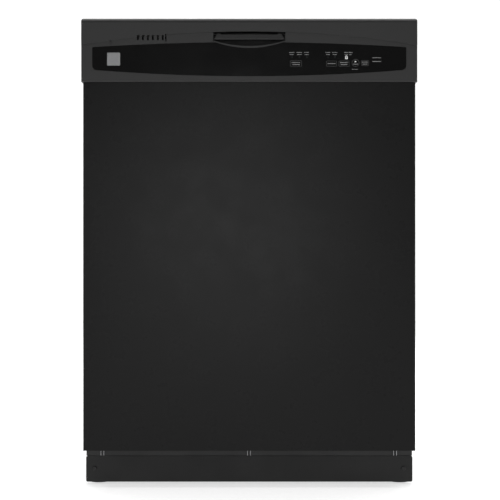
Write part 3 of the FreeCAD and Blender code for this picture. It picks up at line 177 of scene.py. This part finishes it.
MATS = {
    "door": surface("door_paint", (0.0074,) * 3, 0.28, spec=0.115, tone=0.05, grain=420.0, grain_depth=0.000012,
                    rough_spread=0.02, wave=0.0001),
    "console": surface("console_plastic", (0.0178,) * 3, 0.42, spec=0.40, tone=0.06, grain=1600.0,
                       grain_depth=0.00003, rough_spread=0.04),
    "lever": surface("lever_plastic", (0.0080,) * 3, 0.38, spec=0.35, tone=0.06, grain=1500.0, grain_depth=0.00002),
    "overlay": surface("overlay_gloss", (0.0022,) * 3, 0.10, spec=0.30, tone=0.05, grain=400.0,
                       grain_depth=0.000004, rough_spread=0.02),
    "toe": surface("toe_paint", (0.0148,) * 3, 0.5, spec=0.22, tone=0.07, grain=420.0, grain_depth=0.00004),
    "access": surface("access_paint", (0.0155,) * 3, 0.5, spec=0.35, tone=0.07, grain=420.0, grain_depth=0.00004),
    "screw": surface("screw_black", (0.02,) * 3, 0.35, metal=0.6, tone=0.1, grain=700.0),
    "badge": surface("badge_satin", (0.275, 0.278, 0.282), 0.34, metal=0.9, tone=0.05, tone_scale=30,
                     grain=6.0, grain_depth=0.00001, stretch=(400, 20, 20)),
    "zinc": surface("zinc_steel", (0.36, 0.37, 0.38), 0.42, metal=0.95, tone=0.16, tone_scale=30.0,
                    rough_spread=0.12, grain=300.0),
    "spring": surface("spring_wire", (0.36, 0.36, 0.37), 0.33, metal=1.0, tone=0.15, tone_scale=40.0),
    "heater": surface("heater_sheath", (0.24, 0.21, 0.19), 0.4, metal=0.9, tone=0.3, tone_scale=18.0,
                      rough_spread=0.12, grain=500.0),
    "tub": surface("tub_plastic", (0.34, 0.35, 0.36), 0.36, tone=0.06, tone_scale=4.0, grain=1200.0,
                   grain_depth=0.00003),
    "liner": surface("liner_plastic", (0.36, 0.37, 0.38), 0.34, tone=0.05, tone_scale=4.0, grain=1200.0,
                     grain_depth=0.00003),
    "rubber": surface("seal_rubber", (0.028, 0.028, 0.03), 0.72, tone=0.2, tone_scale=40.0, grain=1500.0,
                      grain_depth=0.00006, sheen=0.1),
    "hose": surface("hose_rubber", (0.02, 0.02, 0.022), 0.6, tone=0.2, tone_scale=50.0, grain=700.0,
                    grain_depth=0.0001),
    "pocket": surface("pocket_moulding", (0.0045,) * 3, 0.5, spec=0.3, tone=0.1, grain=1300.0, grain_depth=0.00004),
    "dark": surface("black_moulding", (0.012,) * 3, 0.5, tone=0.1, grain=1300.0, grain_depth=0.00004),
    "grey": surface("grey_moulding", (0.20, 0.21, 0.22), 0.42, tone=0.08, tone_scale=14.0, grain=1300.0,
                    grain_depth=0.00004),
    "pale": surface("pale_moulding", (0.62, 0.62, 0.60), 0.4, tone=0.06, tone_scale=20.0, grain=1300.0,
                    grain_depth=0.00003),
    "motor": surface("motor_paint", (0.07, 0.07, 0.075), 0.45, metal=0.3, tone=0.15, tone_scale=25.0,
                     grain=500.0, grain_depth=0.00006),
    "nylon": surface("rack_nylon", (0.19, 0.21, 0.24), 0.48, tone=0.08, tone_scale=40.0, grain=1400.0,
                     grain_depth=0.00005),
    "lamp": surface("lamp_lens", (0.006, 0.006, 0.007), 0.15, spec=0.5, tone=0.1, grain=900.0,
                    grain_depth=0.000005),
    "board": surface("circuit_board", (0.015, 0.075, 0.035), 0.3, tone=0.25, tone_scale=120.0, grain=400.0),
    "print": surface("print_grey", (0.22, 0.22, 0.22), 0.5, tone=0.06, tone_scale=60.0, grain=900.0,
                     grain_depth=0.000004),
    "print_dim": surface("print_dim", (0.075, 0.075, 0.075), 0.5, tone=0.06, tone_scale=60.0, grain=900.0,
                         grain_depth=0.000004),
    "print_bright": surface("print_bright", (0.72, 0.72, 0.72), 0.45, tone=0.05, tone_scale=60.0, grain=900.0,
                            grain_depth=0.000004),
    # painted highlight: this light grey on the tab edge strips stands in for light caught by the painted tab edges
    "edge": surface("painted_tab_highlight", (0.42, 0.42, 0.43), 0.4, tone=0.1, tone_scale=80.0, grain=900.0),
    "felt": fibre("blanket_felt", (0.032, 0.032, 0.034)),
    "pad": fibre("sound_felt", (0.10, 0.095, 0.085)),
}

LOOK = {
    "door_panel": "door", "console": "console", "handle_lever": "lever", "control_overlay": "overlay",
    "toe_panel": "toe", "access_panel": "access", "toe_screws": "screw", "door_screws": "screw",
    "badge_plate": "badge", "tub_frame": "zinc", "base_frame": "zinc", "hinge_arms": "zinc",
    "junction_box": "zinc", "roller_studs": "zinc", "upper_rails": "zinc", "door_springs": "spring",
    "heating_element": "heater", "tub": "tub", "door_liner": "liner", "tub_gasket": "rubber",
    "fill_hose": "hose", "handle_pocket": "pocket", "latch_housing": "dark", "vent_duct": "dark",
    "drain_pump": "dark", "rinse_cap": "dark", "foot_front_left": "dark", "foot_front_right": "dark",
    "foot_rear_left": "dark", "foot_rear_right": "dark", "sump": "grey", "filter_cup": "grey",
    "feed_tube": "grey", "manifold": "grey", "lower_spray_arm": "grey", "middle_spray_arm": "grey",
    "top_spray_arm": "grey", "dispenser_body": "grey", "detergent_lid": "grey", "silverware_basket": "grey",
    "wheels_front": "grey", "wheels_rear": "grey", "inlet_valve": "pale", "float": "pale",
    "rollers_front": "pale", "rollers_rear": "pale", "latch_jaw": "pale", "circulation_pump": "motor",
    "lower_rack": "nylon", "upper_rack": "nylon", "cup_shelf": "nylon", "indicator_lights": "lamp",
    "control_board": "board", "key_1": "overlay", "key_2": "overlay", "key_3": "overlay", "key_4": "overlay",
    "key_round": "overlay",
}

for node, look in LOOK.items():
    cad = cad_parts[node]
    for place in cad.material_slots:
        place.material = MATS[look]


# ---------------------------------------------------------------- mesh helpers
def piece(name, bm, look, body, smooth=False):
    mesh = bpy.data.meshes.new(name)
    bmesh.ops.recalc_face_normals(bm, faces=bm.faces)
    bm.to_mesh(mesh)
    bm.free()
    obj = bpy.data.objects.new(name, mesh)
    bpy.context.scene.collection.objects.link(obj)
    mesh.materials.append(MATS[look])
    for face in mesh.polygons:
        face.use_smooth = smooth
    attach(obj, body)
    return obj


def prism(bm, outline, y0, y1):
    """Closed solid from an (x, z) outline between two depths."""
    near = [bm.verts.new((x, y0, z)) for x, z in outline]
    far = [bm.verts.new((x, y1, z)) for x, z in outline]
    bm.faces.new(near)
    bm.faces.new(far[::-1])
    count = len(outline)
    for i in range(count):
        j = (i + 1) % count
        bm.faces.new((near[i], far[i], far[j], near[j]))


def frame_prism(bm, outer, inner, y0, y1):
    """Closed ring solid between two matching (x, z) outlines."""
    rings = [[bm.verts.new((x, y, z)) for x, z in line] for y in (y0, y1) for line in (outer, inner)]
    a, b, c, d = rings
    count = len(outer)
    for i in range(count):
        j = (i + 1) % count
        bm.faces.new((a[i], a[j], b[j], b[i]))
        bm.faces.new((c[i], d[i], d[j], c[j]))
        bm.faces.new((a[i], c[i], c[j], a[j]))
        bm.faces.new((b[i], b[j], d[j], d[i]))


def round_rect(cx, cz, w, h, r, steps=5):
    """Rounded rectangle outline in metres."""
    points = []
    for sx, sz, start in ((1, 1, 0), (-1, 1, 90), (-1, -1, 180), (1, -1, 270)):
        for k in range(steps + 1):
            a = math.radians(start + 90 * k / steps)
            points.append((cx + sx * (w / 2 - r) + r * math.cos(a), cz + sz * (h / 2 - r) + r * math.sin(a)))
    return points


def circle(cx, cz, r, steps=32):
    return [(cx + r * math.cos(2 * math.pi * k / steps), cz + r * math.sin(2 * math.pi * k / steps))
            for k in range(steps)]


INK = 0.00003              # thickness of printed marks
INK_Y0 = PRINT_Y - INK
INK_Y1 = PRINT_Y + 0.00001


def bar(bm, x, drop, w, h):
    """One printed bar, centred at x and a drop below the console top, in millimetres."""
    z = TOP - drop * MM
    prism(bm, round_rect(x * MM, z, w * MM, h * MM, min(w, h) * 0.3 * MM, 2), INK_Y0, INK_Y1)


def dashes(bm, x, drop, width, height=1.3):
    """A row of short bars that reads as a line of small print."""
    left = x - width / 2
    right = x + width / 2
    while left < right - 0.5:
        w = min(random.uniform(0.7, 2.0), right - left)
        bar(bm, left + w / 2, drop, w, height)
        left += w + 0.45


def outline(bm, x, drop, w, h, line=0.35, r=1.0):
    z = TOP - drop * MM
    outer = round_rect(x * MM, z, w * MM, h * MM, r * MM)
    inner = round_rect(x * MM, z, (w - 2 * line) * MM, (h - 2 * line) * MM, (r - line) * MM)
    frame_prism(bm, outer, inner, INK_Y0, INK_Y1)


# ---------------------------------------------------------------- printed marks
KEYS = {"key_1": (84.2, 81.9, 20.9, 11.3, 2), "key_2": (148.4, 81.9, 19.1, 10.2, 1),
        "key_3": (170.9, 81.9, 19.1, 10.6, 2), "key_4": (208.7, 81.0, 13.8, 10.2, 2)}
for node, (x, drop, w, h, lines) in KEYS.items():
    bm = bmesh.new()
    for k in range(lines):
        dashes(bm, x, drop + (k - (lines - 1) / 2) * 3.6, w * (0.74 - 0.12 * k), 1.6)
    piece(node + "_print", bm, "print", node)
    bm = bmesh.new()
    outline(bm, x, drop, w - 0.8, h - 0.8)
    piece(node + "_border", bm, "print_dim", node)

KEY_X, KEY_DROP = 191.7, 80.7
z = TOP - KEY_DROP * MM
bm = bmesh.new()
frame_prism(bm, circle(KEY_X * MM, z, 6.5 * MM), circle(KEY_X * MM, z, 6.1 * MM), INK_Y0, INK_Y1)
piece("key_round_border", bm, "print_dim", "key_round")
bm = bmesh.new()
mark_left, mark_right = (KEY_X - 1.5) * MM, (KEY_X + 1.9) * MM
prism(bm, [(mark_left, z + 4.0 * MM), (mark_left, z + 0.6 * MM), (mark_right, z + 2.3 * MM)], INK_Y0, INK_Y1)
piece("key_round_mark", bm, "print_bright", "key_round")
bm = bmesh.new()
dashes(bm, KEY_X, KEY_DROP + 2.2, 9.0, 1.5)
piece("key_round_print", bm, "print", "key_round")

bm = bmesh.new()
for x, w in ((76.7, 9.0), (90.4, 10.0), (103.5, 9.0), (142.1, 9.0), (154.1, 9.0), (174.9, 7.5), (182.9, 6.0)):
    dashes(bm, x, 61.8, w)
    dashes(bm, x, 65.6, w * 0.8)
dashes(bm, 190.9, 92.3, 11.4)
dashes(bm, 229.9, 71.4, 15.9, 1.5)
dashes(bm, 229.9, 78.2, 15.9, 1.5)
piece("strip_print", bm, "print", "door")

# a small padlock mark on its lamp window
bm = bmesh.new()
LOCK_X, LOCK_DROP = 175.2, 70.2
z = TOP - LOCK_DROP * MM
frame_prism(bm, round_rect(LOCK_X * MM, z - 1.4 * MM, 4.8 * MM, 4.4 * MM, 0.7 * MM),
            round_rect(LOCK_X * MM, z - 1.4 * MM, 2.2 * MM, 1.6 * MM, 0.3 * MM), INK_Y0 - INK, INK_Y1)
arch = [(a, 2.0) for a in range(0, 181, 20)] + [(a, 1.3) for a in range(180, -1, -20)]
points = []
for a, r in arch:
    turn = math.radians(a)
    points.append((LOCK_X * MM + r * MM * math.cos(turn), z + 0.6 * MM + r * MM * 1.2 * math.sin(turn)))
prism(bm, points, INK_Y0 - INK, INK_Y1)
piece("lock_mark", bm, "print_bright", "door")


# low screw heads in the folded sides of the door skin, each with a cross slot
def screw_head(bm, side, y, z, r=0.0036):
    """Shallow domed head that looks out of one side, its slots cut in as a sunk cross."""
    arm, half = 0.62, 0.15
    cross = []
    for k in range(4):
        a = math.pi / 2 * k
        for u, v in ((-half, arm), (half, arm), (half, half)):
            cross.append((u * math.cos(a) + v * math.sin(a), v * math.cos(a) - u * math.sin(a)))
    rim = 36
    levels = []
    for grow, lift in ((1.0, -0.0006), (1.0, 0.00012), (0.93, 0.00034), (0.80, 0.00042)):
        levels.append([bm.verts.new((side * (0.3000 + lift), y + r * grow * math.cos(2 * math.pi * k / rim),
                                     z + r * grow * math.sin(2 * math.pi * k / rim))) for k in range(rim)])
    for a, b in zip(levels, levels[1:]):
        for k in range(rim):
            bm.faces.new((a[k], a[(k + 1) % rim], b[(k + 1) % rim], b[k]))
    bm.faces.new(levels[0])
    top = [bm.verts.new((side * 0.30042, y + r * u, z + r * v)) for u, v in cross]
    low = [bm.verts.new((side * 0.29990, y + r * u, z + r * v)) for u, v in cross]
    count = len(cross)
    for k in range(count):
        bm.faces.new((top[k], top[(k + 1) % count], low[(k + 1) % count], low[k]))
    bm.faces.new(low)
    # face between the rim and the cross: each rim step joins its nearest corner of the cross
    near = []
    for k in range(rim):
        a = 2 * math.pi * k / rim
        spot = (math.cos(a) * 0.8, math.sin(a) * 0.8)
        near.append(min(range(count), key=lambda c: (cross[c][0] - spot[0]) ** 2 + (cross[c][1] - spot[1]) ** 2))
    for k in range(rim):
        j = (k + 1) % rim
        a, b = near[k], near[j]
        if a == b:
            bm.faces.new((levels[-1][k], levels[-1][j], top[a]))
            continue
        step = -1 if (a - b) % count < (b - a) % count else 1
        walk = [a]
        while walk[-1] != b:
            walk.append((walk[-1] + step) % count)
        bm.faces.new((levels[-1][k], levels[-1][j], *[top[c] for c in reversed(walk)]))


bm = bmesh.new()
for side in (-1, 1):
    for z in (0.140, 0.300, 0.460, 0.620):
        screw_head(bm, side, -0.298, z)
heads = piece("door_screw_heads", bm, "screw", "door")
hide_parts("door_screws")

# painted highlight: light strips on the edges of the six folded tabs of the plate over the kick plate, standing in
# for the light these painted edges catch
bm = bmesh.new()
TAB_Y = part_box("access_panel")[0].y
for x in (-272.7, -267.3, -3.2, 2.2, 265.3, 270.7):
    prism(bm, round_rect(x * MM, 0.0598, 0.9 * MM, 15.4 * MM, 0.3 * MM, 2), TAB_Y - INK, TAB_Y + INK)
piece("tab_edge_highlights", bm, "edge", "cabinet")

# dark strips behind the slit between the kick plate and the wings of the plate over it
bm = bmesh.new()
WING_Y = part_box("access_panel")[1].y + 0.15 * MM
for side in (-1, 1):
    prism(bm, round_rect(side * 0.2934, 0.0515, 9.8 * MM, 8.0 * MM, 0.4 * MM, 2), WING_Y, WING_Y + 0.6 * MM)
piece("wing_backing", bm, "access", "cabinet")


# ---------------------------------------------------------------- soft pads
def quilt(name, skin, rows, columns, look, body, nodes, seams):
    """Closed padded sheet: skin(u, v) gives an inner point, an outward direction and a thickness."""
    bm = bmesh.new()
    inner, outer = [], []
    for i in range(rows + 1):
        inner.append([])
        outer.append([])
        for j in range(columns + 1):
            u, v = i / rows, j / columns
            point, way, thick = skin(u, v)
            crown = 1.0
            for at, along in seams:
                d = abs((u if along == "u" else v) - at)
                crown = min(crown, 0.35 + 0.65 * min(1.0, d / 0.02) ** 0.5)
            edge = min(u * rows, (1 - u) * rows, v * columns, (1 - v) * columns) / 3.0
            crown *= 0.45 + 0.55 * min(1.0, edge) ** 0.5
            dent = 0.16 * noise_at(Vector((u * 26.0, v * 9.0, thick * 900))) + 0.05 * noise_at(
                Vector((u * 90.0, v * 34.0, 3.0)))
            lift = thick * max(0.15, crown * (0.86 + dent))
            inner[i].append(bm.verts.new(point))
            outer[i].append(bm.verts.new(point + way * lift))
    for i in range(rows):
        for j in range(columns):
            bm.faces.new((outer[i][j], outer[i + 1][j], outer[i + 1][j + 1], outer[i][j + 1]))
            bm.faces.new((inner[i][j], inner[i][j + 1], inner[i + 1][j + 1], inner[i + 1][j]))
    for i in range(rows):
        for j in (0, columns):
            bm.faces.new((inner[i][j], inner[i + 1][j], outer[i + 1][j], outer[i][j]))
    for j in range(columns):
        for i in (0, rows):
            bm.faces.new((inner[i][j], outer[i][j], outer[i][j + 1], inner[i][j + 1]))
    obj = piece(name, bm, look, body, smooth=True)
    if nodes:
        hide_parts(*nodes)
    return obj


wrap_lo, wrap_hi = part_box("insulation_blanket")
CLEAR = 0.0006
WRAP_R = 0.026
SIDE_X = 0.275 + CLEAR
CEIL_Z = 0.827 + CLEAR


def wrap_skin(u, v):
    """Blanket section over the tub: up the left side, over the top and down the right side."""
    low = wrap_lo.z
    side = CEIL_Z - WRAP_R - low
    top = 2 * (SIDE_X - WRAP_R)
    arc = math.pi / 2 * WRAP_R
    s = u * (2 * side + top + 2 * arc)
    y = wrap_lo.y + v * (wrap_hi.y - 0.010 - wrap_lo.y)
    if s < side:
        return Vector((-SIDE_X, y, low + s)), Vector((-1, 0, 0)), 0.0082
    s -= side
    if s < arc:
        a = s / WRAP_R
        way = Vector((-math.cos(a), 0, math.sin(a)))
        return Vector((-SIDE_X + WRAP_R, y, CEIL_Z - WRAP_R)) + way * WRAP_R, way, 0.0082 + 0.005 * a
    s -= arc
    if s < top:
        return Vector((-SIDE_X + WRAP_R + s, y, CEIL_Z)), Vector((0, 0, 1)), 0.0150
    s -= top
    if s < arc:
        a = s / WRAP_R
        way = Vector((math.sin(a), 0, math.cos(a)))
        return Vector((SIDE_X - WRAP_R, y, CEIL_Z - WRAP_R)) + way * WRAP_R, way, 0.0160 - 0.005 * a
    s -= arc
    return Vector((SIDE_X, y, CEIL_Z - WRAP_R - s)), Vector((1, 0, 0)), 0.0082


quilt("blanket_wrap", wrap_skin, 300, 84, "felt", "cabinet", ["insulation_blanket"],
      [(0.5, "v"), (0.02, "v"), (0.98, "v"), (0.33, "u"), (0.67, "u")])


def back_skin(u, v):
    x = -0.262 + 0.524 * u
    z = wrap_lo.z + 0.004 + v * (CEIL_Z - 0.012 - wrap_lo.z)
    return Vector((x, 0.2886, z)), Vector((0, 1, 0)), 0.0086


quilt("blanket_back", back_skin, 110, 130, "felt", "cabinet", [],
      [(0.03, "u"), (0.97, "u"), (0.33, "v"), (0.66, "v")])

pad_lo, pad_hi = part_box("sound_pad")


def pad_skin(u, v):
    x = pad_lo.x + (pad_hi.x - pad_lo.x) * u
    z = pad_lo.z + (pad_hi.z - pad_lo.z) * v
    return Vector((x, pad_hi.y, z)), Vector((0, -1, 0)), 0.0115


quilt("sound_pad_felt", pad_skin, 60, 66, "pad", "door", ["sound_pad"],
      [(0.33, "u"), (0.66, "u")])


# ---------------------------------------------------------------- rack tips
def domes(bm, spots, r):
    """Rounded nylon tips on upright wires."""
    for x, y, z in spots:
        rings = []
        for level, grow in ((-0.0035, 1.0), (0.0, 1.12), (0.0012, 0.95), (0.0020, 0.55)):
            rings.append([bm.verts.new((x + r * grow * math.cos(k * math.pi / 5),
                                        y + r * grow * math.sin(k * math.pi / 5), z + level))
                          for k in range(10)])
        for a, b in zip(rings, rings[1:]):
            for k in range(10):
                bm.faces.new((a[k], a[(k + 1) % 10], b[(k + 1) % 10], b[k]))
        bm.faces.new(rings[0][::-1])
        bm.faces.new(rings[-1])


bm = bmesh.new()
domes(bm, [(x * MM, (-165 + 30 * k) * MM, 0.252) for x in (-210, -90, 30) for k in range(12)], 0.0021)
piece("lower_tine_tips", bm, "nylon", "lower_rack", smooth=True)
bm = bmesh.new()
domes(bm, [(x * MM, (-170 + 34 * k) * MM, 0.566) for x in (-98, 0, 98) for k in range(12)], 0.0021)
piece("upper_tine_tips", bm, "nylon", "upper_rack", smooth=True)


# ---------------------------------------------------------------- floor, light, camera
def plain(name, colour, emit=0.0):
    mat, tree, shader = nodes_of(name)
    shader.inputs["Base Color"].default_value = (*colour, 1)
    shader.inputs["Roughness"].default_value = 0.9
    shader.inputs["Specular IOR Level"].default_value = 0.1
    shader.inputs["Emission Color"].default_value = (1, 1, 1, 1)
    shader.inputs["Emission Strength"].default_value = emit
    return mat


def sheet_of(name, corners, mat):
    mesh = bpy.data.meshes.new(name)
    mesh.from_pydata(corners, [], [tuple(range(len(corners)))])
    obj = bpy.data.objects.new(name, mesh)
    bpy.context.scene.collection.objects.link(obj)
    mesh.materials.append(mat)
    return obj


sheet_of("floor", [(-9, -9, 0), (9, -9, 0), (9, 5, 0), (-9, 5, 0)], plain("floor_pale", (0.60,) * 3, 0.60))
sheet_of("backdrop", [(-9, 5, 0), (9, 5, 0), (9, 5, 8), (-9, 5, 8)], plain("backdrop_pale", (0.78,) * 3, 0.28))


def area(name, place, target, size, power, size_y=None):
    light = bpy.data.lights.new(name, "AREA")
    light.shape = "RECTANGLE"
    light.size = size
    light.size_y = size_y or size
    light.energy = power
    obj = bpy.data.objects.new(name, light)
    obj.location = place
    obj.rotation_mode = "QUATERNION"
    obj.rotation_quaternion = (Vector(target) - Vector(place)).to_track_quat("-Z", "Y")
    bpy.context.scene.collection.objects.link(obj)
    return obj


area("overhead", (0, 0.9, 4.2), (0, 0.7, 0), 5.0, 225)
area("front_soft", (-0.10, -4.6, 0.57), (-0.04, -0.3, 0.45), 0.7, 12, 0.8)
area("left_soft", (-3.6, -2.2, 1.8), (0, 0, 0.4), 1.8, 30)
area("right_soft", (3.6, -2.2, 1.8), (0, 0, 0.4), 1.8, 30)
area("back_soft", (0.6, 3.6, 2.2), (0, 0.2, 0.4), 2.0, 40)

world = bpy.data.worlds.new("studio")
world.use_nodes = True
world.node_tree.nodes["Background"].inputs["Color"].default_value = (0.15, 0.15, 0.15, 1)
world.node_tree.nodes["Background"].inputs["Strength"].default_value = 1.0
bpy.context.scene.world = world

CAMERA_BACK = 3.0          # camera to console front
CAMERA_Z = 0.430
FIELD = 0.901              # width seen at the console front
camera = bpy.data.cameras.new("camera")
camera.sensor_width = 36
camera.lens = 36 * CAMERA_BACK / FIELD
camera.clip_end = 60
eye = bpy.data.objects.new("camera", camera)
eye.location = (0.00135, CAD_BOX[0][1] - CAMERA_BACK, CAMERA_Z)
eye.rotation_euler = (math.radians(90), 0, 0)
bpy.context.scene.collection.objects.link(eye)
bpy.context.scene.camera = eye
bpy.context.scene.view_settings.view_transform = "Standard"
bpy.context.scene.view_settings.look = "None"
